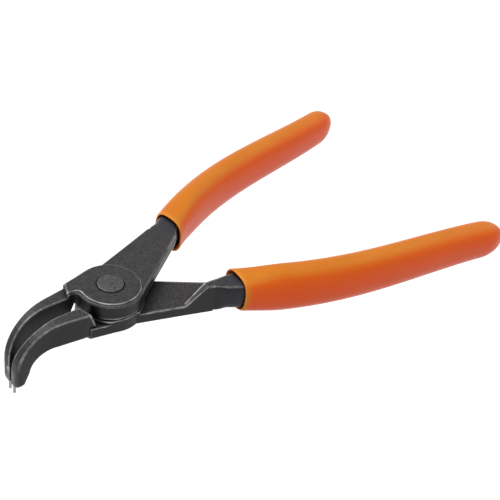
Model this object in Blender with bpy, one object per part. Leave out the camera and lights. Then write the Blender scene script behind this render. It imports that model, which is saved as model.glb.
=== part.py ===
"""Circlip pliers for external retaining rings, with jaws bent through a right angle.

Two forged levers lie flat on each other in a lap joint and turn on one rivet. The jaw and the
handle of a lever are on the same side of the rivet, so squeezing the handles opens the jaws.
The two forgings are the same shape turned over, and each gets its own bent jaw.
+X runs along the handles, +Y towards the upper lever's handle, +Z up. The origin is where the
rivet's axis leaves its lower head.
"""

import math

import bmesh
import bpy
import numpy as np

MM = 0.001

# Forging thickness, measured from the middle plane of the joint
LEVER_HALF = 4.3 * MM
PAD_RISE = 0.4 * MM
PAD_INSET = 0.6 * MM
LAP_GAP = 0.3 * MM
EDGE_BEVEL = 0.35 * MM
PAD_BEVEL = 0.2 * MM

# Ear, the round eye of each lever
EAR_RADIUS = 8.5 * MM
EAR_BACK_ANGLE = 70.0
CHEEK_ANGLE = 103.5
CHEEK_REACH = 1.2 * MM
THROAT_REACH = 2.7 * MM
THROAT_Y = 2.15 * MM
THROAT_FILLET = 1.5 * MM

# Handle outline in plan
INNER_EDGE_ANGLE = 35.0
OUTER_BEND = (18.0 * MM, 12.9 * MM)
HANDLE_START = (29.0 * MM, 13.6 * MM)
HANDLE_SWELL = (57.7 * MM, 31.2 * MM)
HANDLE_WAIST = (86.3 * MM, 29.1 * MM)
HANDLE_END = (115.0 * MM, 37.3 * MM)
NECK_INNER = 3.75 * MM
NECK_OUTER = 4.25 * MM
NECK_SQUARENESS = 8.0
TANG_INNER = 3.4 * MM
TANG_OUTER = 4.15 * MM
TANG_HALF_DEPTH = 4.3 * MM
TANG_SQUARENESS = 3.2
TANG_END_HALF = 2.2 * MM
TANG_END_ROUND = 2.2 * MM
TANG_SHARE = 0.86
TANG_LEAD = 5.6 * MM
TANG_BARE = 4.0 * MM
TANG_TURN = 3.0 * MM
TANG_SET_IN = 0.05 * MM

# Recess beside the ear that the other lever sweeps over
RECESS_DROP = 0.9 * MM
RECESS_FROM_EAR = 0.4 * MM
RAMP_FROM_EAR = 12.2 * MM
RAMP_ANGLE = 45.0
WALL_FROM_EAR = 3.3 * MM
WALL_ANGLE = 4.0
WALL_DRAFT = 4.0

# Jaw, bent down through a right angle
JAW_ROOT_INSET = 3.5 * MM
JAW_TOP_Z = 3.3 * MM
JAW_BOTTOM_Z = -3.7 * MM
FRONT_BEND_X = -16.4 * MM
FRONT_BEND_RADIUS = 12.0 * MM
BACK_BEND_X = -18.0 * MM
BACK_BEND_RADIUS = 6.6 * MM
JAW_END_DEPTH = 14.1 * MM
JAW_END_WIDTH_X = 2.4 * MM
JAW_INNER_ROOT = 2.1 * MM
JAW_INNER_END = 0.3 * MM
JAW_SET_IN = 0.25 * MM
JAW_OUTER_END = 3.35 * MM
JAW_OUTER_TAPER = 1.7
JAW_EDGE_ROOT = 0.35 * MM
JAW_EDGE_END = 1.1 * MM
JAW_EDGE_SHARE = 0.45
JAW_EDGE_INNER = 0.25 * MM
SEAT_FROM_EAR = 0.85 * MM
SEAT_DIRECTION = 165.0
SEAT_SLOPE = 70.0

# Rivet and its holes
RIVET_RADIUS = 2.6 * MM
RIVET_PLAY = 0.1 * MM
RIVET_HEAD_RADIUS = 3.43 * MM
RIVET_HEAD_PLAY = 0.22 * MM
RIVET_HEAD_DEPTH = 0.8 * MM
RIVET_HEAD_RISE = 0.35 * MM
RIVET_HEAD_BEVEL = 0.25 * MM

# Inserted tips
TIP_RADIUS = 0.45 * MM
TIP_END_RADIUS = 0.38 * MM
TIP_END_BEVEL = 0.12 * MM
TIP_REACH = 3.1 * MM
TIP_SOCKET = 4.0 * MM
TIP_PLAY = 0.1 * MM
TIP_WALL = 0.12 * MM

# Dipped grips
GRIP_START = 0.9 * MM
GRIP_HALF_WIDTH = 4.7 * MM
GRIP_HALF_WIDTH_END = 4.3 * MM
GRIP_HALF_DEPTH = 6.7 * MM
GRIP_HALF_DEPTH_END = 5.4 * MM
GRIP_SQUARENESS = 2.4
GRIP_MOUTH_LENGTH = 12.0 * MM
GRIP_MOUTH_HALF_DEPTH = 5.3 * MM
GRIP_MOUTH_SQUARENESS = 3.0
GRIP_MOUTH_SHIFT = 0.3 * MM
GRIP_MOUTH_ROUND = 0.5 * MM
GRIP_MOUTH_LEAD = 3.5 * MM
GRIP_MOUTH_TILT = 24.0
GRIP_END_ROUND = 8.0 * MM
GRIP_FIT = 0.3 * MM

# How finely round shapes are divided
ARC_STEP = 6.0
SHARP_EDGE = 30.0
ROUND_SEGMENTS = 48
TIP_SEGMENTS = 16
CORNER_STEPS = 4
BEND_STEPS = 10
JAW_ROOT_STEPS = 4
JAW_END_STEPS = 5
OUTER_EDGE_STEPS = 8
TANG_MOUTH_STEPS = 10
TANG_STEPS = 10
TANG_END_STEPS = 4
GRIP_BODY_STEPS = 18
GRIP_DOME_STEPS = 7
GRIP_POINTS = 28

LAP_HALF = LAP_GAP / 2
PAD_TOP = LEVER_HALF + PAD_RISE
RECESS_FLOOR = LAP_HALF + RECESS_DROP
RIVET_HALF = PAD_TOP + RIVET_HEAD_RISE
HANDLE_LENGTH = HANDLE_END[0] - HANDLE_START[0]
REACH = 2 * EAR_RADIUS
CHEEK_END_X = -EAR_RADIUS - CHEEK_REACH
THROAT_X = -EAR_RADIUS - THROAT_REACH
RAMP_TOP_X = EAR_RADIUS + RAMP_FROM_EAR
WALL_TOP_Y = EAR_RADIUS + WALL_FROM_EAR
JAW_ROOT_X = -EAR_RADIUS + JAW_ROOT_INSET
SMALL = 1e-4


def clear_scene():
    """Removes whatever the file starts with."""
    for obj in list(bpy.data.objects):
        bpy.data.objects.remove(obj, do_unlink=True)


def material(name, colour, roughness, metallic):
    """A plain Principled material."""
    made = bpy.data.materials.new(name)
    made.use_nodes = True
    shader = made.node_tree.nodes["Principled BSDF"]
    shader.inputs["Base Color"].default_value = (*colour, 1.0)
    shader.inputs["Roughness"].default_value = roughness
    shader.inputs["Metallic"].default_value = metallic
    made.diffuse_color = (*colour, 1.0)
    return made


def add_object(name, shape, finish=None):
    """Turns a bmesh into an object on the rivet's axis, at the joint's middle plane."""
    bmesh.ops.recalc_face_normals(shape, faces=shape.faces)
    mesh = bpy.data.meshes.new(name)
    shape.to_mesh(mesh)
    shape.free()
    obj = bpy.data.objects.new(name, mesh)
    obj.location = (0.0, 0.0, RIVET_HALF)
    bpy.context.scene.collection.objects.link(obj)
    if finish is None:
        obj.hide_render = True
        obj.display_type = "WIRE"
    else:
        mesh.materials.append(finish)
        mesh.shade_smooth()
        mesh.set_sharp_from_angle(angle=math.radians(SHARP_EDGE))
    return obj


def combine(target, tool, operation):
    """Joins a tool solid to the target or cuts it away."""
    step = target.modifiers.new(tool.name, "BOOLEAN")
    step.operation = operation
    step.object = tool
    step.solver = "EXACT"


def polar(radius, degrees):
    """The plan point at a radius and an angle from the rivet."""
    angle = math.radians(degrees)
    return np.array([radius * math.cos(angle), radius * math.sin(angle)])


def arc(centre, radius, start, end):
    """Points on an arc in plan, from one angle to the other."""
    steps = max(1, round(abs(end - start) / ARC_STEP))
    return [centre + polar(radius, angle) for angle in np.linspace(start, end, steps + 1)]


def bezier(points, share):
    """A point on the Bezier curve through these control points."""
    points = np.array(points, float)
    while len(points) > 1:
        points = points[:-1] * (1 - share) + points[1:] * share
    return points[0]


def handle_point(share):
    """A plan point on the handle's centre line, from the grip's mouth at 0 to its end at 1."""
    return bezier([HANDLE_START, HANDLE_SWELL, HANDLE_WAIST, HANDLE_END], share)


def handle_normal(share):
    """The unit vector across the handle in plan, pointing away from the other handle."""
    along = handle_point(share + SMALL) - handle_point(share - SMALL)
    along /= np.linalg.norm(along)
    return np.array([-along[1], along[0]])


def tang_half(start_half, share):
    """Half the steel's width inside the grip, which narrows evenly to its end."""
    return start_half + (TANG_END_HALF - start_half) * share / TANG_SHARE


def beside_handle(distance, share):
    """A plan point at a distance from the handle's centre line, outwards where it is positive."""
    return handle_point(share) + distance * handle_normal(share)


def cheek_end():
    """The outer corner where the ear's cheek ends and the jaw goes on."""
    start = polar(EAR_RADIUS, CHEEK_ANGLE)
    slope = math.tan(math.radians(CHEEK_ANGLE - 90))
    return np.array([CHEEK_END_X, start[1] + (CHEEK_END_X - start[0]) * slope])


def ear_front(radius, throat_y):
    """From the throat round the fillet and the ear to the start of the straight inner edge."""
    fillet_y = throat_y - THROAT_FILLET
    reach = radius + THROAT_FILLET
    centre = np.array([-math.sqrt(reach**2 - fillet_y**2), fillet_y])
    meets = math.degrees(math.atan2(-centre[1], -centre[0]))
    tangent = 180 + meets
    fillet = arc(centre, THROAT_FILLET, 90, meets)
    ear = arc(np.zeros(2), radius, tangent, 270 + INNER_EDGE_ANGLE)
    return [np.array([THROAT_X, throat_y])] + fillet + ear[1:]


def lever_outline():
    """The whole forging in plan: ear, cheek and handle, with the handle on the +Y side."""
    front = ear_front(EAR_RADIUS, THROAT_Y)
    bare = np.array([-TANG_LEAD, -TANG_BARE]) / HANDLE_LENGTH
    inner = [beside_handle(-NECK_INNER, share) for share in bare]
    back_start = polar(EAR_RADIUS, EAR_BACK_ANGLE)
    back_end = beside_handle(NECK_OUTER, bare[-1])
    shares = np.linspace(1, 0, OUTER_EDGE_STEPS + 1)
    outer = [bezier([back_start, OUTER_BEND, back_end], share) for share in shares]
    back = arc(np.zeros(2), EAR_RADIUS, EAR_BACK_ANGLE, CHEEK_ANGLE)
    return front + inner + outer + back[1:] + [cheek_end()]


def pad_outline():
    """The raised pad round the rivet, which runs on over the cheek."""
    radius = EAR_RADIUS - PAD_INSET
    front = ear_front(radius, THROAT_Y + PAD_INSET / 2)
    start = 270 + INNER_EDGE_ANGLE
    back = arc(np.zeros(2), radius, start, 360 + CHEEK_ANGLE)
    corner = cheek_end() + np.array([PAD_INSET / 4, -PAD_INSET / 2])
    return front + back[1:] + [corner]


def prism(outline, low, high, bevel_low=0.0, bevel_high=0.0):
    """An outline in plan made into a plate, with its lower and upper edges bevelled."""
    shape = bmesh.new()
    base = [shape.verts.new((point[0], point[1], low)) for point in outline]
    face = shape.faces.new(base)
    grown = bmesh.ops.extrude_face_region(shape, geom=[face])["geom"]
    raised = [item for item in grown if isinstance(item, bmesh.types.BMVert)]
    bmesh.ops.translate(shape, verts=raised, vec=(0, 0, high - low))
    for level, width in ((low, bevel_low), (high, bevel_high)):
        if width:
            rim = [
                edge
                for edge in shape.edges
                if all(abs(vert.co.z - level) < width / 10 for vert in edge.verts)
            ]
            bmesh.ops.bevel(shape, geom=rim, offset=width, segments=1, affect="EDGES")
    return shape


def loft(rings):
    """A closed solid over a list of rings of points, with both ends capped."""
    shape = bmesh.new()
    rows = [[shape.verts.new(point) for point in ring] for ring in rings]
    for row, following in zip(rows, rows[1:]):
        for i in range(len(row)):
            j = (i + 1) % len(row)
            shape.faces.new((row[i], row[j], following[j], following[i]))
    shape.faces.new(rows[0])
    shape.faces.new(rows[-1])
    return shape


def turned(profile, centre, segments):
    """A profile of (radius, height) points turned round an upright axis."""
    rings = []
    for radius, height in profile:
        angles = np.arange(segments) * 2 * math.pi / segments
        x = centre[0] + radius * np.cos(angles)
        y = centre[1] + radius * np.sin(angles)
        rings.append(np.stack([x, y, np.full(segments, height)], axis=1))
    return loft(rings)


def cylinder(radius, low, high):
    """A plain cylinder on the rivet's axis."""
    return turned([(radius, low), (radius, high)], (0, 0), ROUND_SEGMENTS)


def turn_over(shape):
    """Turns a forging over about the X axis, which makes the lower lever of the upper one."""
    for vert in shape.verts:
        vert.co.y = -vert.co.y
        vert.co.z = -vert.co.z
    return shape


def recess_cutter(floor):
    """What is cut from the lap side down to a floor: a drafted wall and a ramp bound it."""
    rings = []
    for level in (floor, -PAD_TOP):
        rise = LEVER_HALF + level
        ramp_x = RAMP_TOP_X - rise / math.tan(math.radians(RAMP_ANGLE))
        draft = rise * math.tan(math.radians(WALL_DRAFT))
        slope = math.tan(math.radians(WALL_ANGLE))
        far_x = HANDLE_START[0] + EAR_RADIUS
        wall_start = WALL_TOP_Y - draft + (ramp_x - RAMP_TOP_X) * slope
        wall_end = WALL_TOP_Y - draft + (far_x - RAMP_TOP_X) * slope
        plan = [
            (ramp_x, 2 * REACH),
            (ramp_x, wall_start),
            (far_x, wall_end),
            (far_x, -REACH),
            (-REACH, -REACH),
            (-REACH, 2 * REACH),
        ]
        rings.append([(x, y, level) for x, y in plan])
    return loft(rings)


def seat_cutter():
    """What is cut from the jaw beside the other ear, ending in a sloped shoulder."""
    rings = []
    along = polar(1.0, SEAT_DIRECTION)
    across = np.array([-along[1], along[0]])
    for depth in (0.0, REACH):
        distance = EAR_RADIUS + SEAT_FROM_EAR + depth / math.tan(math.radians(SEAT_SLOPE))
        ends = [
            distance * along + REACH * across,
            distance * along - REACH * across,
            -REACH * along - REACH * across,
            -REACH * along + REACH * across,
        ]
        rings.append([(x, y, RECESS_FLOOR - depth) for x, y in ends])
    return loft(rings)


def smooth_step(value):
    """Runs from 0 to 1 with a level start and end."""
    value = min(max(value, 0.0), 1.0)
    return value * value * (3 - 2 * value)


def jaw_stations():
    """Along the jaw: the front and back points in side view, and the distance from the cheek."""
    front_down = JAW_TOP_Z - FRONT_BEND_RADIUS
    back_down = JAW_BOTTOM_Z - BACK_BEND_RADIUS
    front_x = FRONT_BEND_X - FRONT_BEND_RADIUS
    back_x = BACK_BEND_X - BACK_BEND_RADIUS
    straight = CHEEK_END_X - FRONT_BEND_X
    stations = []
    for share in np.arange(JAW_ROOT_STEPS) / JAW_ROOT_STEPS:
        top = JAW_ROOT_X + (FRONT_BEND_X - JAW_ROOT_X) * share
        bottom = JAW_ROOT_X + (BACK_BEND_X - JAW_ROOT_X) * share
        stations.append(((top, JAW_TOP_Z), (bottom, JAW_BOTTOM_Z), CHEEK_END_X - top))
    for angle in np.linspace(0, math.pi / 2, BEND_STEPS + 1):
        top = FRONT_BEND_X - FRONT_BEND_RADIUS * math.sin(angle)
        top_z = front_down + FRONT_BEND_RADIUS * math.cos(angle)
        bottom = BACK_BEND_X - BACK_BEND_RADIUS * math.sin(angle)
        bottom_z = back_down + BACK_BEND_RADIUS * math.cos(angle)
        distance = straight + FRONT_BEND_RADIUS * angle
        stations.append(((top, top_z), (bottom, bottom_z), distance))
    bend_end = straight + FRONT_BEND_RADIUS * math.pi / 2
    for angle in np.linspace(0, math.pi / 2, JAW_END_STEPS + 1)[1:]:
        share = math.sin(angle)
        top_z = front_down + (-JAW_END_DEPTH - front_down) * share
        bottom_z = back_down + (-JAW_END_DEPTH - back_down) * share
        bottom = back_x + (front_x + JAW_END_WIDTH_X - back_x) * share
        distance = bend_end + front_down - top_z
        stations.append(((front_x, top_z), (bottom, bottom_z), distance))
    return stations


def jaw_length():
    """The jaw's length along its front, from the cheek to the end face."""
    return jaw_stations()[-1][2]


def jaw_inner(distance):
    """How far the jaw's inner face is from the middle, which closes in from the bend's first quarter."""
    quarter = FRONT_BEND_RADIUS * math.pi / 8
    start = CHEEK_END_X - FRONT_BEND_X + quarter
    share = smooth_step((distance - start) / (jaw_length() - start - quarter / 2))
    return JAW_INNER_ROOT + (JAW_INNER_END - JAW_INNER_ROOT) * share


def jaw_outer(distance):
    """How far the jaw's outer face is from the middle: it tapers all the way from the cheek."""
    left = min(1.0, 1 - distance / jaw_length())
    root = cheek_end()[1] - JAW_SET_IN
    return JAW_OUTER_END + (root - JAW_OUTER_END) * max(left, 0.0) ** JAW_OUTER_TAPER


def rounded_section(front, back, inner, outer, outer_edge, inner_edge):
    """One ring across the jaw: a rectangle with round corners between its front and back points."""
    front = np.array(front)
    back = np.array(back)
    depth = np.linalg.norm(back - front)
    down = (back - front) / depth
    corners = (
        (inner, 0.0, 1, 1, inner_edge, 180),
        (outer, 0.0, -1, 1, outer_edge, 270),
        (outer, depth, -1, -1, outer_edge, 0),
        (inner, depth, 1, -1, inner_edge, 90),
    )
    ring = []
    for y, v, towards_y, towards_v, radius, start in corners:
        centre_y = y + towards_y * radius
        centre_v = v + towards_v * radius
        for angle in np.radians(np.linspace(start, start + 90, CORNER_STEPS + 1)):
            side = centre_y + radius * math.cos(angle)
            place = front + (centre_v + radius * math.sin(angle)) * down
            ring.append((place[0], side, place[1]))
    return ring


def jaw_solid(side):
    """The bent jaw of the upper lever (+1) or the lower lever (-1)."""
    rings = []
    stations = jaw_stations()
    for front, back, distance in stations:
        share = min(max(distance / jaw_length(), 0.0), 1.0)
        left = jaw_length() - distance
        shrink = max(0.0, 1 - left / JAW_EDGE_END) ** 2 * JAW_EDGE_END / 2
        inner = jaw_inner(distance)
        outer = jaw_outer(distance) - shrink
        edge = JAW_EDGE_ROOT + (JAW_EDGE_END - JAW_EDGE_ROOT) * smooth_step(share)
        back = (back[0] - shrink / 2, back[1])
        edge = min(edge, JAW_EDGE_SHARE * min(outer - inner, math.dist(front, back)))
        rings.append(rounded_section(front, back, inner, outer, edge, JAW_EDGE_INNER))
    return loft([[(x, side * y, z) for x, y, z in ring] for ring in rings])


def tip_place(side):
    """Where a tip stands in plan, near the jaw's front inner corner."""
    inset = TIP_WALL + TIP_PLAY + TIP_RADIUS
    x = FRONT_BEND_X - FRONT_BEND_RADIUS + inset
    return np.array([x, side * (JAW_INNER_END + inset)])


def between(start, end, share):
    """The value a share of the way from start to end."""
    return start + (end - start) * share


def section_ring(share, offset, wide, deep, squareness, tilt, side):
    """One ring across the handle line, an oval with full shoulders."""
    across = handle_normal(share)
    centre = handle_point(share) + offset * across
    across = across + tilt * np.array([across[1], -across[0]])
    ring = []
    for angle in np.arange(GRIP_POINTS) * 2 * math.pi / GRIP_POINTS:
        cosine = math.cos(angle)
        sine = math.sin(angle)
        sideways = math.copysign(abs(cosine) ** (2 / squareness), cosine) * wide
        upwards = math.copysign(abs(sine) ** (2 / squareness), sine) * deep
        place = centre + sideways * across
        ring.append((place[0], side * place[1], upwards))
    return ring


def tang_ring(share, spare, closing, side):
    """One ring of the steel at a grip: the neck's rectangle turns into an oval by the mouth."""
    full = smooth_step((share * HANDLE_LENGTH + TANG_BARE) / TANG_TURN)
    inner = between(NECK_INNER, tang_half(TANG_INNER, share), full) + spare
    outer = between(NECK_OUTER, tang_half(TANG_OUTER, share), full) + spare
    deep = between(LEVER_HALF, TANG_HALF_DEPTH, full) + spare
    squareness = between(NECK_SQUARENESS, TANG_SQUARENESS, full)
    offset = (outer - inner) / 2
    wide = (outer + inner) / 2
    return section_ring(share, offset, wide * closing, deep * closing, squareness, 0.0, side)


def tang_solid(spare, lead, side):
    """The steel inside a grip, widened by a spare, from a lead before the mouth to its round end."""
    end = TANG_SHARE + spare / HANDLE_LENGTH
    dome = TANG_END_ROUND / HANDLE_LENGTH
    mouth = np.linspace(-lead, GRIP_START, TANG_MOUTH_STEPS + 1) / HANDLE_LENGTH
    body = np.linspace(mouth[-1], end - dome, TANG_STEPS + 1)[1:]
    rings = [tang_ring(share, spare, 1.0, side) for share in (*mouth, *body)]
    for angle in np.linspace(0, math.pi / 2, TANG_END_STEPS + 2)[1:-1]:
        share = end - dome * (1 - math.sin(angle))
        rings.append(tang_ring(share, spare, math.cos(angle), side))
    return loft(rings)


def make_lever(name, side, steel):
    """One lever: the forging with its pad, recess and rivet hole, and its jaw with a tip socket."""
    blank = prism(lever_outline(), -LEVER_HALF, LEVER_HALF, EDGE_BEVEL, EDGE_BEVEL)
    pad = prism(pad_outline(), LEVER_HALF / 2, PAD_TOP, 0.0, PAD_BEVEL)
    hole = cylinder(RIVET_RADIUS + RIVET_PLAY, -REACH, REACH)
    head_floor = PAD_TOP - RIVET_HEAD_DEPTH - RIVET_PLAY
    head = cylinder(RIVET_HEAD_RADIUS + RIVET_HEAD_PLAY, head_floor, REACH)
    lap = recess_cutter(LAP_HALF)
    recess = recess_cutter(RECESS_FLOOR)
    ear_room = cylinder(EAR_RADIUS + 2 * RECESS_FROM_EAR, -REACH, LAP_HALF)
    seat = seat_cutter()
    if side < 0:
        for shape in (blank, pad, head, lap, recess, ear_room, seat):
            turn_over(shape)
    socket = turned(
        [
            (TIP_RADIUS + TIP_PLAY, -JAW_END_DEPTH - REACH),
            (TIP_RADIUS + TIP_PLAY, -JAW_END_DEPTH + TIP_SOCKET + TIP_PLAY),
        ],
        tip_place(side),
        TIP_SEGMENTS,
    )
    ear = cylinder(EAR_RADIUS + RECESS_FROM_EAR, -REACH, REACH)
    ear_form = add_object(name + "_ear_form", ear)
    beside = add_object(name + "_recess_cut", recess)
    combine(beside, ear_form, "DIFFERENCE")
    seat_cut = add_object(name + "_seat_cut", seat)
    combine(seat_cut, ear_form, "DIFFERENCE")
    jaw = add_object(name + "_jaw_form", jaw_solid(side))
    combine(jaw, seat_cut, "DIFFERENCE")
    combine(jaw, add_object(name + "_ear_room", ear_room), "DIFFERENCE")
    combine(jaw, add_object(name + "_tip_hole", socket), "DIFFERENCE")
    lever = add_object(name, blank, steel)
    tang = tang_solid(-TANG_SET_IN, TANG_LEAD, side)
    combine(lever, add_object(name + "_tang_form", tang), "UNION")
    combine(lever, add_object(name + "_lap_cut", lap), "DIFFERENCE")
    combine(lever, beside, "DIFFERENCE")
    combine(lever, add_object(name + "_pad_form", pad), "UNION")
    combine(lever, jaw, "UNION")
    combine(lever, add_object(name + "_rivet_hole", hole), "DIFFERENCE")
    combine(lever, add_object(name + "_head_hole", head), "DIFFERENCE")
    return lever


def make_rivet(steel):
    """The rivet: a plain shank between two low heads that sit in the pads."""
    under = RIVET_HALF - RIVET_HEAD_RISE - RIVET_HEAD_DEPTH
    flat = RIVET_HEAD_RADIUS - RIVET_HEAD_BEVEL
    side = RIVET_HALF - RIVET_HEAD_BEVEL
    half = [
        (RIVET_RADIUS, under),
        (RIVET_HEAD_RADIUS, under),
        (RIVET_HEAD_RADIUS, side),
        (flat, RIVET_HALF),
    ]
    profile = [(radius, -height) for radius, height in half[::-1]] + half
    return add_object("pivot_rivet", turned(profile, (0, 0), ROUND_SEGMENTS), steel)


def make_tip(name, side, steel):
    """A tip pressed into the jaw: a round pin whose free end tapers."""
    end = -JAW_END_DEPTH - TIP_REACH
    profile = [
        (TIP_END_RADIUS - TIP_END_BEVEL, end),
        (TIP_END_RADIUS, end + TIP_END_BEVEL),
        (TIP_RADIUS, -JAW_END_DEPTH),
        (TIP_RADIUS, -JAW_END_DEPTH + TIP_SOCKET),
    ]
    return add_object(name, turned(profile, tip_place(side), TIP_SEGMENTS), steel)


def grip_size(share):
    """The grip's offset, half width, half depth, squareness and tilt at a share of the handle."""
    wide = between(GRIP_HALF_WIDTH, GRIP_HALF_WIDTH_END, share)
    deep = between(GRIP_HALF_DEPTH, GRIP_HALF_DEPTH_END, share**2)
    full = smooth_step((share * HANDLE_LENGTH - GRIP_START) / GRIP_MOUTH_LENGTH)
    deep = between(GRIP_MOUTH_HALF_DEPTH, deep, full)
    tilt = math.tan(math.radians(GRIP_MOUTH_TILT)) * (1 - full)
    offset = GRIP_MOUTH_SHIFT * (1 - full)
    return offset, wide, deep, between(GRIP_MOUTH_SQUARENESS, GRIP_SQUARENESS, full), tilt


def grip_ring(share, mouth_cut, closing, side):
    """One ring of a grip, cut smaller by its rounded mouth or its closing end."""
    offset, wide, deep, squareness, tilt = grip_size(share)
    wide = (wide - mouth_cut) * closing
    deep = (deep - mouth_cut) * closing
    return section_ring(share, offset, wide, deep, squareness, tilt, side)


def grip_solid(side):
    """The outside of a grip: a rounded mouth, a long taper and a domed end."""
    start = GRIP_START / HANDLE_LENGTH
    lip = GRIP_MOUTH_ROUND / HANDLE_LENGTH
    dome = GRIP_END_ROUND / HANDLE_LENGTH
    rings = []
    for angle in np.linspace(0, math.pi / 2, CORNER_STEPS)[:-1]:
        cut = GRIP_MOUTH_ROUND * (1 - math.sin(angle))
        rings.append(grip_ring(start + lip * (1 - math.cos(angle)), cut, 1.0, side))
    for share in np.linspace(start + lip, 1 - dome, GRIP_BODY_STEPS):
        rings.append(grip_ring(share, 0.0, 1.0, side))
    for angle in np.linspace(0, math.pi / 2, GRIP_DOME_STEPS + 2)[1:-1]:
        rings.append(grip_ring(1 - dome * (1 - math.sin(angle)), 0.0, math.cos(angle), side))
    return loft(rings)


def make_grip(name, side, vinyl):
    """A grip with the pocket that the steel fills."""
    pocket = tang_solid(GRIP_FIT, GRIP_MOUTH_LEAD, side)
    grip = add_object(name, grip_solid(side), vinyl)
    combine(grip, add_object(name + "_pocket", pocket), "DIFFERENCE")
    return grip


def build():
    clear_scene()
    blackened = material("blackened_steel", (0.055, 0.054, 0.056), 0.42, 0.85)
    rivet_steel = material("rivet_steel", (0.10, 0.10, 0.10), 0.38, 0.9)
    tip_steel = material("tip_steel", (0.45, 0.44, 0.42), 0.35, 0.95)
    vinyl = material("orange_vinyl", (0.85, 0.20, 0.03), 0.32, 0.0)
    for word, side in (("upper", 1), ("lower", -1)):
        make_lever(word + "_lever", side, blackened)
        make_grip(word + "_grip", side, vinyl)
        make_tip(word + "_tip", side, tip_steel)
    make_rivet(rivet_steel)


build()
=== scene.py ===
"""Looks for circlip pliers with bent jaws: forged levers, a rivet, pressed-in tips, dipped grips.

Lengths are in metres. +X runs along the handles, +Y towards the upper lever's handle and +Z up.
The origin is where the rivet's axis leaves its lower head.
"""

import math

import bmesh
import bpy
import numpy as np
from mathutils import Matrix, Vector


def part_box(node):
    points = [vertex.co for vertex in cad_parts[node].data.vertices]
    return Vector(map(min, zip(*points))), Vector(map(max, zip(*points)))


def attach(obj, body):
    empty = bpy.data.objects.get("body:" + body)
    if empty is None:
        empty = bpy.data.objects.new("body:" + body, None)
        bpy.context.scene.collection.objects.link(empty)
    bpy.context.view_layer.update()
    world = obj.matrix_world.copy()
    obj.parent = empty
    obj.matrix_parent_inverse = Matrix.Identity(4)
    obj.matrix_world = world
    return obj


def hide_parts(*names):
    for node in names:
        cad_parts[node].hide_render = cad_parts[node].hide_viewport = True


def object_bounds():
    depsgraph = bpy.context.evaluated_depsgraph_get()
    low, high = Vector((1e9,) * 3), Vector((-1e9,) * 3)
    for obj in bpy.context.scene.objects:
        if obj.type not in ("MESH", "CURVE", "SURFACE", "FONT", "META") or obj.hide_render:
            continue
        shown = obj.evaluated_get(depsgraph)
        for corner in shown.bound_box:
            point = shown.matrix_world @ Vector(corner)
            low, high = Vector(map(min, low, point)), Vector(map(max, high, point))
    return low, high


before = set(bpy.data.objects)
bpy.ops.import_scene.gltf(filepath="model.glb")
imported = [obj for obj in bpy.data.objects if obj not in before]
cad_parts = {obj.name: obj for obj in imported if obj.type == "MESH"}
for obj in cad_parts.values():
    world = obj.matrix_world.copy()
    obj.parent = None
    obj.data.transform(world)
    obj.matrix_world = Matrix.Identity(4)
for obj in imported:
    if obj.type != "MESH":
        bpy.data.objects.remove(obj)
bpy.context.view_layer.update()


# Levers
# The two drop-forged steel levers of the pliers, the same forging turned over. They are heated and
# oil-blackened, so they are a satin charcoal with fine scale, worn brighter along the edges.
# Painted shade darkens their sides and crevices, and painted highlights lie on the rims and jaw
# bevels.

MIDDLE_Z = 0.00505
STEEL_DARK = (0.020, 0.019, 0.019)
STEEL_PALE = (0.062, 0.058, 0.057)
# The bright steel of worn edges and of the painted highlights.
STEEL_EDGE = (0.42, 0.41, 0.40)
STEEL_BLUE = (0.022, 0.025, 0.050)
# Near black, used for the painted shade down the sides and in crevices.
PAINTED_SHADE = (0.003, 0.003, 0.003)
STEEL_SPECULAR = 0.30
STEEL_ROUGHNESS = (0.36, 0.52)
STEEL_METALLIC = (0.15, 0.85)
EDGE_POLISH = (1.0, 0.7)
PATCHES_PER_METRE = 500.0
GRAINS_PER_METRE = 2600.0
GRAIN_STRENGTH, GRAIN_DEPTH = 0.3, 0.00008
NOISE_RANGE = (0.3, 0.7)
EDGE_REACH = 0.0008
EDGE_ROUND = 0.00035
CREVICE_REACH = 0.005
SOFT_EDGE, SOFT_EDGE_ANGLE = 0.00018, 40

# Spreads: where a tone or a line of wear starts and ends, and then its share at both, where that
# isn't 0 and 1. These follow the grain and patches, and how open a spot is.
GRAIN_TONE = (0.40, 0.62)
PATCH_TONE = (0.45, 0.70, 0.0, 0.4)
PATCH_WEAR = (0.35, 0.60, 0.35, 1.0)
CONVEX_OPEN = (0.86, 0.58)
CREVICE_OPEN = (0.42, 0.88)

# These follow a place in metres: along the pliers, up, from the middle plane, or round the rivet.
BLUE_ALONG = (0.0232, 0.0285, 0.0, 0.45)
NECK_ALONG = (0.0208, 0.0222, 0.0, 0.45)
CROWN_ALONG = (-0.0100, -0.0090, 0.0, 0.9)
JAW_ALONG = (-0.0095, -0.0105)
JAW_UP = (-0.0040, 0.0005, 0.10, 0.75)
BEND_UP = (-0.0065, -0.0040, 0.35, 1.0)
CROWN_FROM_MIDDLE = (0.0042, 0.0046)
BEYOND_RIVET = (0.0040, 0.0046)

# These follow how far a face leans, as a part of its unit normal.
SIDE_LEAN = (0.75, 0.35, 0.0, 0.75)
SEAM_LEAN = (0.40, 0.20)

# Bands rise over their first two numbers and fall over the last two. The seam's lies along the
# pliers, in metres.
# The rim and jaw bands pick the leaning faces that are painted bright as highlights.
RIM_LEAN_BAND = (0.50, 0.62, 0.76, 0.86)
JAW_LEAN_BAND = (0.42, 0.56, 0.74, 0.86)
SEAM_ALONG_BAND = (0.0175, 0.0185, 0.0235, 0.0245)


def feed(tree, node, inputs):
    """Fills a node's inputs, by name or number, with values or from other sockets."""
    for name, value in inputs.items():
        if isinstance(value, bpy.types.NodeSocket):
            tree.links.new(value, node.inputs[name])
        else:
            node.inputs[name].default_value = value


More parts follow.
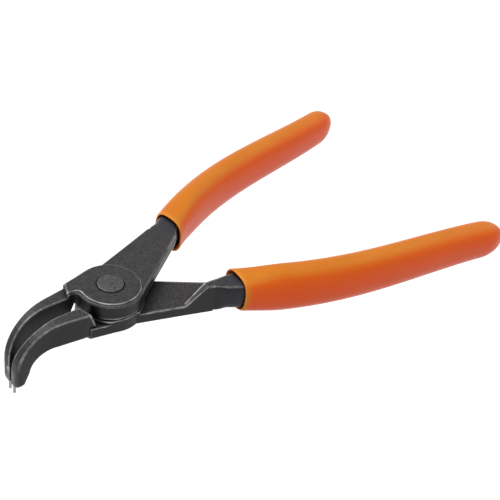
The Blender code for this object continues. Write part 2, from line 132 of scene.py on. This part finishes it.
def add_node(tree, kind, settings, inputs):
    """One shader node: settings are its own properties, and inputs are what goes into it."""
    node = tree.nodes.new(kind)
    for name, value in settings.items():
        setattr(node, name, value)
    feed(tree, node, inputs)
    return node


def new_material(name):
    """An empty node material and its Principled shader."""
    made = bpy.data.materials.new(name)
    made.use_nodes = True
    return made, made.node_tree, made.node_tree.nodes["Principled BSDF"]


def own_coordinates(tree, kind):
    """The piece's own coordinates at each spot: Object is its place, Normal the way it faces."""
    return tree.nodes.new("ShaderNodeTexCoord").outputs[kind]


def split(tree, vector):
    """The x, y and z of a vector."""
    return add_node(tree, "ShaderNodeSeparateXYZ", {}, {"Vector": vector}).outputs


def noise(tree, place, scale, detail, roughness=0.5):
    """Noise at so many patches per metre, as a 0 to 1 factor."""
    inputs = {"Vector": place, "Scale": scale, "Detail": detail, "Roughness": roughness}
    return add_node(tree, "ShaderNodeTexNoise", {}, inputs).outputs[0]


def spread(tree, factor, low, high, start=0.0, end=1.0):
    """Stretches the part of a factor between low and high to run from start to end."""
    inputs = {"Value": factor, "From Min": low, "From Max": high, "To Min": start, "To Max": end}
    return add_node(tree, "ShaderNodeMapRange", {}, inputs).outputs[0]


def mix_colour(tree, factor, first, second):
    """The first colour at factor 0 and the second at 1."""
    inputs = {0: factor}
    for number, colour in ((6, first), (7, second)):
        linked = isinstance(colour, bpy.types.NodeSocket)
        inputs[number] = colour if linked else (*colour, 1.0)
    return add_node(tree, "ShaderNodeMix", {"data_type": "RGBA"}, inputs).outputs[2]


def maths(tree, operation, *values):
    """One maths step on one or two values, each a number or a socket."""
    inputs = dict(enumerate(values))
    return add_node(tree, "ShaderNodeMath", {"operation": operation}, inputs).outputs[0]


def multiply(tree, first, second):
    """The product of two factors."""
    return maths(tree, "MULTIPLY", first, second)


def greater(tree, first, second):
    """The larger of two factors."""
    return maths(tree, "MAXIMUM", first, second)


def band(tree, factor, low, rise, fall, high):
    """1 where a factor lies between rise and fall, fading to 0 at low and high."""
    return multiply(tree, spread(tree, factor, low, rise), spread(tree, factor, high, fall))


def open_share(tree, distance, inside):
    """The free share of the view within a distance of each spot: inside looks into the steel, where
    convex edges have little room, and otherwise it looks out, where crevices have little."""
    settings = {"samples": 8, "inside": inside, "only_local": inside}
    node = add_node(tree, "ShaderNodeAmbientOcclusion", settings, {"Distance": distance})
    return node.outputs["AO"]


def emboss(tree, shader, height, strength, depth, normal=None):
    """Bump marks from a height factor, a depth of so many metres, over a normal if one is given."""
    inputs = {"Height": height, "Strength": strength, "Distance": depth}
    if normal is not None:
        inputs["Normal"] = normal
    marks = add_node(tree, "ShaderNodeBump", {}, inputs)
    tree.links.new(marks.outputs[0], shader.inputs["Normal"])


def blackened_steel():
    """Oil-blackened forged steel: fine charcoal scale, blue towards the grips, brighter where
    convex edges wear, with painted shade down the sides and in crevices and painted highlights on
    the rims and the jaws' outward bevels."""
    made, tree, shader = new_material("blackened_steel_finish")
    place = own_coordinates(tree, "Object")
    along, across, high = split(tree, place)
    _, sideways, upward = split(tree, own_coordinates(tree, "Normal"))
    steepness = maths(tree, "ABSOLUTE", upward)
    patches = noise(tree, place, PATCHES_PER_METRE, detail=3.0)
    grain = noise(tree, place, GRAINS_PER_METRE, detail=4.0, roughness=0.65)

    body = mix_colour(tree, spread(tree, grain, *GRAIN_TONE), STEEL_DARK, STEEL_PALE)
    body = mix_colour(tree, spread(tree, patches, *PATCH_TONE), body, STEEL_DARK)
    # Faces that turn sideways are painted darker, towards near black, as painted shade.
    body = mix_colour(tree, spread(tree, upward, *SIDE_LEAN), body, PAINTED_SHADE)
    body = mix_colour(tree, spread(tree, along, *BLUE_ALONG), body, STEEL_BLUE)

    # Painted highlights: the rounded rims on the crown and by the grips, and the jaws' outward
    # bevels, are lit up in the colour as glints.
    from_middle = maths(tree, "ABSOLUTE", maths(tree, "SUBTRACT", high, MIDDLE_Z))
    crown = spread(tree, from_middle, *CROWN_FROM_MIDDLE)
    crown = multiply(tree, crown, spread(tree, along, *CROWN_ALONG))
    neck = spread(tree, along, *NECK_ALONG)
    leaning = band(tree, steepness, *RIM_LEAN_BAND)
    rim_glint = multiply(tree, leaning, greater(tree, neck, crown))

    outward = multiply(tree, sideways, maths(tree, "SIGN", across))
    jaw_glint = multiply(tree, band(tree, outward, *JAW_LEAN_BAND), spread(tree, along, *JAW_ALONG))
    jaw_glint = multiply(tree, jaw_glint, spread(tree, high, *JAW_UP))

    convex = spread(tree, open_share(tree, EDGE_REACH, inside=True), *CONVEX_OPEN)
    convex = multiply(tree, convex, spread(tree, high, *BEND_UP))
    seam = band(tree, along, *SEAM_ALONG_BAND)
    seam = multiply(tree, seam, spread(tree, steepness, *SEAM_LEAN))
    convex = multiply(tree, convex, maths(tree, "SUBTRACT", 1.0, seam))
    # The painted highlights join the real wear on convex edges.
    edge_wear_and_glint = greater(tree, convex, greater(tree, rim_glint, jaw_glint))

    # Painted shade: crevices and the gaps between parts go towards near black. The same factor
    # keeps wear out of them.
    crevice_shade = spread(tree, open_share(tree, CREVICE_REACH, inside=False), *CREVICE_OPEN)
    rubbed = spread(tree, patches, *PATCH_WEAR)
    flat_place = add_node(
        tree, "ShaderNodeVectorMath", {"operation": "MULTIPLY"}, {0: place, 1: (1, 1, 0)}
    )
    radius = add_node(
        tree, "ShaderNodeVectorMath", {"operation": "LENGTH"}, {0: flat_place.outputs[0]}
    )
    beyond_rivet = spread(tree, radius.outputs["Value"], *BEYOND_RIVET)
    handled = multiply(tree, multiply(tree, rubbed, beyond_rivet), crevice_shade)
    bared_and_glint = multiply(tree, edge_wear_and_glint, handled)

    worn_and_glint = mix_colour(tree, bared_and_glint, body, STEEL_EDGE)
    matte = spread(tree, grain, *NOISE_RANGE, *STEEL_ROUGHNESS)
    polish = spread(tree, bared_and_glint, 0, 1, *EDGE_POLISH)
    # The base colour carries the painted crevice shade, the real wear and the painted highlights.
    inputs = {
        "Base Color": mix_colour(tree, crevice_shade, PAINTED_SHADE, worn_and_glint),
        "Metallic": spread(tree, bared_and_glint, 0, 1, *STEEL_METALLIC),
        "Roughness": multiply(tree, matte, polish),
        "Specular IOR Level": STEEL_SPECULAR,
    }
    feed(tree, shader, inputs)

    flat = tree.nodes.new("ShaderNodeNewGeometry").outputs["Normal"]
    rounded = add_node(tree, "ShaderNodeBevel", {"samples": 6}, {"Radius": EDGE_ROUND}).outputs[0]
    base = add_node(
        tree, "ShaderNodeMix", {"data_type": "VECTOR"}, {0: edge_wear_and_glint, 4: flat, 5: rounded}
    ).outputs[1]
    emboss(tree, shader, grain, GRAIN_STRENGTH, GRAIN_DEPTH, base)
    return made


lever_finish = blackened_steel()
for word in ("upper", "lower"):
    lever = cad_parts[word + "_lever"]
    for slot in lever.material_slots:
        slot.material = lever_finish
    soften = lever.modifiers.new("soft_edges", "BEVEL")
    soften.width = SOFT_EDGE
    soften.segments = 2
    soften.limit_method = "ANGLE"
    soften.angle_limit = math.radians(SOFT_EDGE_ANGLE)
    soften.use_clamp_overlap = True
    lever.modifiers.new("even_shading", "WEIGHTED_NORMAL").keep_sharp = True


# Rivet
# The steel rivet that both levers turn on, with a low flat head sunk in each pad. It is pressed
# flush after blackening, so its heads are a little lighter, with fine turning marks.

RIVET_RADIUS = 0.00343
RIVET_SHANK = 0.0026
RIVET_HALF = 0.00505
RIVET_HEAD_DEPTH = 0.00115
RIVET_ROUND = 0.00028
RIVET_INNER_RING = 0.0016
RIVET_DARK = (0.068, 0.066, 0.066)
RIVET_PALE = (0.125, 0.121, 0.118)
RIVET_METALLIC = 0.7
RIVET_ROUGHNESS = (0.34, 0.5)
MOTTLE_TONE = (0.35, 0.65)
MOTTLES_PER_METRE = 1300.0
TURNING_PER_METRE = 2400.0
TURNING_STRENGTH, TURNING_DEPTH = 0.15, 0.00005
RIVET_STEPS = 96
WELD = 1e-7


def lay_surface(name, points, finish, body, marked=None):
    """A mesh over a grid of points: rows follow u, columns go round in v, each four neighbours make
    a face, and points that fall together at a pole are welded. The faces are turned outwards if
    the volume between them and the middle is negative. Marked rows carry a factor by name."""
    rows, columns = points.shape[:2]
    index = np.arange(rows * columns).reshape(rows, columns)
    index = np.concatenate([index, index[:, :1]], axis=1)
    quads = np.stack([index[:-1, :-1], index[1:, :-1], index[1:, 1:], index[:-1, 1:]], axis=-1)
    places, quads = points.reshape(-1, 3), quads.reshape(-1, 4)
    corner = places[quads] - places.mean(axis=0)
    if (corner[:, 0] * np.cross(corner[:, 1], corner[:, 2])).sum() < 0:
        quads = quads[:, ::-1]
    mesh = bpy.data.meshes.new(name)
    mesh.from_pydata(places.tolist(), [], quads.tolist())
    if marked:
        factor = mesh.attributes.new(marked[0], "FLOAT", "POINT")
        factor.data.foreach_set("value", np.repeat(marked[1], columns))
    shape = bmesh.new()
    shape.from_mesh(mesh)
    bmesh.ops.remove_doubles(shape, verts=shape.verts, dist=WELD)
    shape.to_mesh(mesh)
    shape.free()
    mesh.shade_smooth()
    piece = bpy.data.objects.new(name, mesh)
    bpy.context.scene.collection.objects.link(piece)
    mesh.materials.append(finish)
    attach(piece, body)
    return piece


def turned_surface(profile, centre, count):
    """Each (radius, height) of the profile swept round an upright axis in count steps:
    x, y = centre + radius * (cos, sin)."""
    angle = np.arange(count) * 2 * np.pi / count
    radius, height = np.array(profile).T
    x = centre[0] + radius[:, None] * np.cos(angle)
    y = centre[1] + radius[:, None] * np.sin(angle)
    return np.stack([x, y, np.broadcast_to(height[:, None], x.shape)], axis=-1)


def rounded_corner(radius, height, size, steps=5):
    """A quarter round of a profile from its side to its top: centre + size * (cos, sin)."""
    angle = np.radians(np.linspace(0, 90, steps))
    return list(zip(radius + size * np.cos(angle), height + size * np.sin(angle)))


def rivet_steel():
    """Pressed rivet steel: lighter grey in soft mottles, with rings left by turning."""
    made, tree, shader = new_material("rivet_steel_finish")
    place = own_coordinates(tree, "Object")
    mottles = noise(tree, place, MOTTLES_PER_METRE, detail=3.0)
    rings = {"Vector": place, "Scale": TURNING_PER_METRE, "Distortion": 1.2, "Detail": 2.0}
    turning = add_node(
        tree, "ShaderNodeTexWave", {"wave_type": "RINGS", "rings_direction": "Z"}, rings
    ).outputs[1]
    inputs = {
        "Base Color": mix_colour(tree, spread(tree, mottles, *MOTTLE_TONE), RIVET_DARK, RIVET_PALE),
        "Metallic": RIVET_METALLIC,
        "Roughness": spread(tree, mottles, *NOISE_RANGE, *RIVET_ROUGHNESS),
    }
    feed(tree, shader, inputs)
    emboss(tree, shader, turning, TURNING_STRENGTH, TURNING_DEPTH)
    return made


head_top = MIDDLE_Z + RIVET_HALF
head_foot = head_top - RIVET_HEAD_DEPTH
upper_half = [(RIVET_SHANK, head_foot), (RIVET_RADIUS, head_foot)]
upper_half += rounded_corner(RIVET_RADIUS - RIVET_ROUND, head_top - RIVET_ROUND, RIVET_ROUND)
upper_half += [(RIVET_INNER_RING, head_top), (0.0, head_top)]
lower_half = [(radius, 2 * MIDDLE_Z - height) for radius, height in upper_half[::-1]]
rivet_points = turned_surface(lower_half + upper_half, (0, 0), RIVET_STEPS)
rivet = lay_surface("rivet", rivet_points, rivet_steel(), "lower")
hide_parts("pivot_rivet")


# Tips
# The two hardened round pins that go into the ring's eyes, pressed into the jaws' ends. They are
# left bright, ground to a slight taper with a small chamfer.

TIP_RADIUS = 0.00045
TIP_END_RADIUS = 0.00027
TIP_CHAMFER_RADIUS = 0.00037
TIP_CHAMFER = 0.00012
TIP_GROUND_LENGTH = 0.0031
PIN_DARK = (0.22, 0.21, 0.2)
PIN_PALE = (0.42, 0.40, 0.37)
PIN_METALLIC = 0.9
PIN_ROUGHNESS = (0.3, 0.42)
GRINDING_PER_METRE = 1500.0
GRINDING_STRENGTH, GRINDING_DEPTH = 0.2, 0.00003
TIP_STEPS = 40


def tip_steel():
    """Ground bright pin steel with a faint warm cast."""
    made, tree, shader = new_material("tip_steel_finish")
    grinding = noise(tree, own_coordinates(tree, "Object"), GRINDING_PER_METRE, detail=3.0)
    inputs = {
        "Base Color": mix_colour(tree, spread(tree, grinding, *NOISE_RANGE), PIN_DARK, PIN_PALE),
        "Metallic": PIN_METALLIC,
        "Roughness": spread(tree, grinding, *NOISE_RANGE, *PIN_ROUGHNESS),
    }
    feed(tree, shader, inputs)
    emboss(tree, shader, grinding, GRINDING_STRENGTH, GRINDING_DEPTH)
    return made


tip_finish = tip_steel()
for word in ("upper", "lower"):
    low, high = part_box(word + "_tip")
    centre = ((low[0] + high[0]) / 2, (low[1] + high[1]) / 2)
    profile = [
        (0.0, low[2]),
        (TIP_END_RADIUS, low[2]),
        (TIP_CHAMFER_RADIUS, low[2] + TIP_CHAMFER),
        (TIP_RADIUS, low[2] + TIP_GROUND_LENGTH),
        (TIP_RADIUS, high[2]),
        (0.0, high[2]),
    ]
    tip_points = turned_surface(profile, centre, TIP_STEPS)
    tip = lay_surface(word + "_pin", tip_points, tip_finish, word)
    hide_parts(word + "_tip")


# Grips
# The two soft PVC grips, dipped on the handles: an oval tube with a rolled lip at its mouth and a
# domed end. Orange all through, with a satin sheen and a faint orange-peel surface.

# The handle's centre line, and lengths along it. The pocket, its rounded end and the lip's inner
# end are shares of the grip's length. Pairs run from the mouth to the end.
HANDLE_CURVE = np.array([(29.0, 13.6), (57.7, 31.2), (86.3, 29.1), (115.0, 37.3)]) * 0.001
GRIP_START = 0.0009
GRIP_LENGTH = 0.086
GRIP_WIDE = (0.00469, 0.00429)
GRIP_DEEP = (0.00669, 0.00539)
GRIP_MOUTH_DEEP = 0.0053
GRIP_MOUTH_SHIFT = 0.0003
GRIP_MOUTH_RUN = 0.012
GRIP_SQUARE = (2.8, 2.4)
GRIP_TILT = math.tan(math.radians(24))
GRIP_LIP = 0.0006
GRIP_LIP_END = 0.012
GRIP_WALL = (0.0006, 0.0020)
GRIP_POCKET = 0.9
GRIP_POCKET_ROUND = 0.025
GRIP_DOME = 0.008
LIP_FADE = (0.0003, 0.0013)
POCKET_ROWS, INNER_ROWS, LIP_ROWS, BODY_ROWS, DOME_ROWS = 9, 39, 13, 80, 17

# Painted light and shade: the lit top, the half-lit shoulder and the shaded sides of one orange.
VINYL_SHADED_SIDE = (0.87, 0.098, 0.006)
VINYL_HALF_LIT_SHOULDER = (0.77, 0.116, 0.003)
VINYL_LIT_TOP = (0.57, 0.155, 0.004)
VINYL_LIT_TOP_PALE = (0.60, 0.18, 0.008)
VINYL_LIP = (0.66, 0.235, 0.018)
VINYL_ROUGHNESS = (0.30, 0.40)
VINYL_SPECULAR = 0.24
VINYL_DEPTH, VINYL_DEPTH_SHARE = (0.002, 0.0006, 0.0002), 0.1
REDDER_ALONG = (0.045, 0.112, 0.0, 0.16)
SHOULDER_LEAN = (0.0, 0.50)
TOP_LEAN = (0.55, 0.90)
LIP_TONE = (0.0, 1.0, 0.0, 0.8)
CLOUDS_PER_METRE = 90.0
PEEL_PER_METRE = 900.0
PEEL_STRENGTH, PEEL_DEPTH = 0.12, 0.00012


def handle_line(share):
    """Points and outward normals of the handle's centre line, a cubic Bezier curve in plan."""
    share = np.asarray(share)[:, None]
    left = 1 - share
    a, b, c, d = HANDLE_CURVE
    place = left**3 * a + 3 * left**2 * share * b + 3 * left * share**2 * c + share**3 * d
    along = left**2 * (b - a) + 2 * left * share * (c - b) + share**2 * (d - c)
    along /= np.linalg.norm(along, axis=1, keepdims=True)
    return place, np.stack([-along[:, 1], along[:, 0]], axis=1)


def smooth(value):
    """Rises from 0 to 1 with a level start and end: 3 v^2 - 2 v^3."""
    value = np.clip(value, 0, 1)
    return value * value * (3 - 2 * value)


def grip_points(side, share, inset, closing, count=96):
    """Superellipse rings across the handle line: half sizes blend from the mouth to the end, inset
    is taken off both, closing shrinks the dome's rings, and the mouth's rings lean by the tilt."""
    full = smooth((share * GRIP_LENGTH - GRIP_START) / GRIP_MOUTH_RUN)
    wide = GRIP_WIDE[0] + (GRIP_WIDE[1] - GRIP_WIDE[0]) * share
    deep = GRIP_DEEP[0] + (GRIP_DEEP[1] - GRIP_DEEP[0]) * share**2
    deep = GRIP_MOUTH_DEEP + (deep - GRIP_MOUTH_DEEP) * full
    power = 2 / (GRIP_SQUARE[0] + (GRIP_SQUARE[1] - GRIP_SQUARE[0]) * full)
    place, across = handle_line(share)
    place = place + (GRIP_MOUTH_SHIFT * (1 - full))[:, None] * across
    lean = np.stack([across[:, 1], -across[:, 0]], axis=1)
    across = across + (GRIP_TILT * (1 - full))[:, None] * lean
    angle = np.arange(count) * 2 * np.pi / count
    cosine, sine = np.cos(angle), np.sin(angle)
    sideways = np.sign(cosine) * np.abs(cosine) ** power[:, None]
    upwards = np.sign(sine) * np.abs(sine) ** power[:, None]
    sideways = sideways * ((wide - inset) * closing)[:, None]
    upwards = upwards * ((deep - inset) * closing)[:, None]
    x = place[:, :1] + sideways * across[:, :1]
    y = side * (place[:, 1:] + sideways * across[:, 1:])
    return np.stack([x, y, upwards + MIDDLE_Z], axis=-1)


def orange_vinyl():
    """Soft orange PVC with painted light: yellower on top and redder down the sides by which way
    the surface faces, redder towards the end, paler on the lip, with a waxy sheen and a faint
    orange-peel bump."""
    made, tree, shader = new_material("orange_vinyl_finish")
    place = own_coordinates(tree, "Object")
    normal = tree.nodes.new("ShaderNodeNewGeometry").outputs["Normal"]
    redder = spread(tree, split(tree, place)[0], *REDDER_ALONG)
    # The top is painted lighter and yellower and the sides redder, as light and shade fall, by
    # which way the surface faces.
    facing = maths(tree, "SUBTRACT", split(tree, normal)[2], redder)
    clouds = noise(tree, place, CLOUDS_PER_METRE, detail=2.0)
    peel = noise(tree, place, PEEL_PER_METRE, detail=2.0)
    top = mix_colour(tree, spread(tree, clouds, *NOISE_RANGE), VINYL_LIT_TOP, VINYL_LIT_TOP_PALE)
    side = mix_colour(tree, spread(tree, facing, *SHOULDER_LEAN), VINYL_SHADED_SIDE, VINYL_HALF_LIT_SHOULDER)
    colour = mix_colour(tree, spread(tree, facing, *TOP_LEAN), side, top)
    on_lip = add_node(tree, "ShaderNodeAttribute", {"attribute_name": "lip"}, {}).outputs["Fac"]
    inputs = {
        "Base Color": mix_colour(tree, spread(tree, on_lip, *LIP_TONE), colour, VINYL_LIP),
        "Roughness": spread(tree, peel, *NOISE_RANGE, *VINYL_ROUGHNESS),
        "Specular IOR Level": VINYL_SPECULAR,
        "Subsurface Weight": VINYL_DEPTH_SHARE,
        "Subsurface Radius": VINYL_DEPTH,
        "Subsurface Scale": 1.0,
    }
    feed(tree, shader, inputs)
    emboss(tree, shader, peel, PEEL_STRENGTH, PEEL_DEPTH)
    return made


# The rows of the sleeve's grid go from the pocket's closed end out along its wall, round the lip,
# and back along the outside to the middle of the dome.
start = GRIP_START / GRIP_LENGTH
dome = GRIP_DOME / GRIP_LENGTH
pocket_end = np.radians(np.linspace(90, 10, POCKET_ROWS))
pocket_share = GRIP_POCKET - GRIP_POCKET_ROUND * (1 - np.sin(pocket_end))
inner_share = np.linspace(pocket_share[-1], start + GRIP_LIP_END, INNER_ROWS + 1)[1:]
roll = np.radians(np.linspace(-90, 90, LIP_ROWS))
lip_share = start + GRIP_LIP / GRIP_LENGTH * (1 - np.cos(roll))
body_share = np.linspace(start + GRIP_LIP_END, 1 - dome, BODY_ROWS)
dome_end = np.radians(np.linspace(0, 90, DOME_ROWS + 1)[1:])
dome_share = 1 - dome * (1 - np.sin(dome_end))
share = np.concatenate([pocket_share, inner_share, lip_share, body_share, dome_share])
wall = GRIP_WALL[0] + (GRIP_WALL[1] - GRIP_WALL[0]) * share
inner_rows, outer_rows = np.ones(POCKET_ROWS + INNER_ROWS), np.zeros(BODY_ROWS + DOME_ROWS)
inside = np.concatenate([inner_rows, (1 - np.sin(roll)) / 2, outer_rows])
full_rows = np.ones(INNER_ROWS + LIP_ROWS + BODY_ROWS)
closing = np.concatenate([np.cos(pocket_end), full_rows, np.cos(dome_end)])
closing[[0, -1]] = 0
from_mouth = np.abs(share - start) * GRIP_LENGTH
lip = np.clip((LIP_FADE[1] - from_mouth) / (LIP_FADE[1] - LIP_FADE[0]), 0, 1)
grip_finish = orange_vinyl()
for word, side in (("upper", 1), ("lower", -1)):
    points = grip_points(side, share, wall * inside, closing)
    grip = lay_surface(word + "_sleeve", points, grip_finish, word, ("lip", lip))
    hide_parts(word + "_grip")


# Stage
# A plain white studio sweep under a large soft key lamp, with a weak fill and a small lamp for the
# glint on the steel, and the camera at the photograph's angle.

# The camera's nearness is one over its distance, and all its lengths count in the picture's pixels.
IMAGE_SIZE = 500
CAMERA_TURN, CAMERA_RISE, CAMERA_ROLL = 47.3327, 36.6810, -9.9938
CAMERA_NEARNESS = 0.00095796
PIVOT_PIXEL = (109.2547, 298.1724)
METRES_PER_PIXEL = 0.00025208
SENSOR_WIDTH = 36.0
NEAREST_SEEN = 0.01
AMBIENT_LIGHT = 0.6
AMBIENT_SHINE = 0.6
FLOOR_DROP = 0.012
FLOOR_REACH = 2.0
FLOOR_GREY = (0.42, 0.42, 0.42)
FLOOR_ROUGHNESS = 0.9
FLOOR_GLOW = 0.70
WHITE = (1, 1, 1, 1)
LAMP_AIM = (0.03, 0, 0)
KEY_PLACE, KEY_SIZE, KEY_POWER = (-0.25, 0.35, 0.6), 0.6, 3.8
FILL_PLACE, FILL_SIZE, FILL_POWER = (0.5, -0.1, 0.4), 0.5, 0.4
GLINT_REACH, GLINT_HEIGHT, GLINT_SIZE, GLINT_POWER = 0.22, 0.55, 0.08, 0.6


def turn(degrees, first, second):
    """A rotation in the plane of two of the three axes."""
    made = np.eye(3)
    angle = math.radians(degrees)
    made[first, first] = made[second, second] = math.cos(angle)
    made[first, second] = -math.sin(angle)
    made[second, first] = math.sin(angle)
    return made


def add_lamp(name, place, size, power):
    """A square white area lamp that points at the middle of the pliers."""
    light = bpy.data.lights.new(name, "AREA")
    light.size = size
    light.energy = power
    lamp = bpy.data.objects.new(name, light)
    lamp.location = place
    aim = Vector(LAMP_AIM) - lamp.location
    lamp.rotation_euler = aim.to_track_quat("-Z", "Y").to_euler()
    bpy.context.scene.collection.objects.link(lamp)


camera_turn = turn(CAMERA_ROLL, 0, 1) @ turn(90 - CAMERA_RISE, 2, 1) @ turn(CAMERA_TURN, 0, 1)
centre = IMAGE_SIZE / 2
offset = [-(PIVOT_PIXEL[0] - centre), PIVOT_PIXEL[1] - centre, 1 / CAMERA_NEARNESS]
camera_place = camera_turn.T @ np.array(offset) * METRES_PER_PIXEL + (0, 0, MIDDLE_Z)
lens = bpy.data.cameras.new("camera")
lens.sensor_width = SENSOR_WIDTH
lens.lens = SENSOR_WIDTH / (IMAGE_SIZE * CAMERA_NEARNESS)
lens.clip_start = NEAREST_SEEN
camera = bpy.data.objects.new("camera", lens)
seat = Matrix(camera_turn.T.tolist()).to_4x4()
seat.translation = camera_place
camera.matrix_world = seat
bpy.context.scene.collection.objects.link(camera)
bpy.context.scene.camera = camera

floor_mesh = bpy.data.meshes.new("floor")
low_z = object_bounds()[0][2] - FLOOR_DROP
signs = ((-1, -1), (1, -1), (1, 1), (-1, 1))
corners = [(FLOOR_REACH * x, FLOOR_REACH * y, low_z) for x, y in signs]
floor_mesh.from_pydata(corners, [], [(0, 1, 2, 3)])
floor = bpy.data.objects.new("floor", floor_mesh)
bpy.context.scene.collection.objects.link(floor)
floor_finish, tree, shader = new_material("floor_finish")
path = tree.nodes.new("ShaderNodeLightPath")
seen = path.outputs["Is Camera Ray"]
for other in ("Is Glossy Ray", "Is Transmission Ray"):
    seen = greater(tree, seen, path.outputs[other])
inputs = {
    "Base Color": (*FLOOR_GREY, 1),
    "Roughness": FLOOR_ROUGHNESS,
    "Emission Color": WHITE,
    "Emission Strength": spread(tree, seen, 0, 1, 0, FLOOR_GLOW),
}
feed(tree, shader, inputs)
floor_mesh.materials.append(floor_finish)

world = bpy.data.worlds.new("studio")
world.use_nodes = True
bpy.context.scene.world = world
tree = world.node_tree
path = tree.nodes.new("ShaderNodeLightPath")
shine = spread(tree, path.outputs["Is Glossy Ray"], 0, 1, AMBIENT_LIGHT, AMBIENT_SHINE)
inputs = {"Color": WHITE, "Strength": greater(tree, path.outputs["Is Camera Ray"], shine)}
feed(tree, tree.nodes["Background"], inputs)

toward_camera = camera_place[:2] / np.linalg.norm(camera_place[:2])
glint_place = (*(GLINT_REACH * toward_camera), GLINT_HEIGHT)
add_lamp("key", KEY_PLACE, KEY_SIZE, KEY_POWER)
add_lamp("fill", FILL_PLACE, FILL_SIZE, FILL_POWER)
add_lamp("glint", glint_place, GLINT_SIZE, GLINT_POWER)
bpy.context.scene.view_settings.view_transform = "Standard"
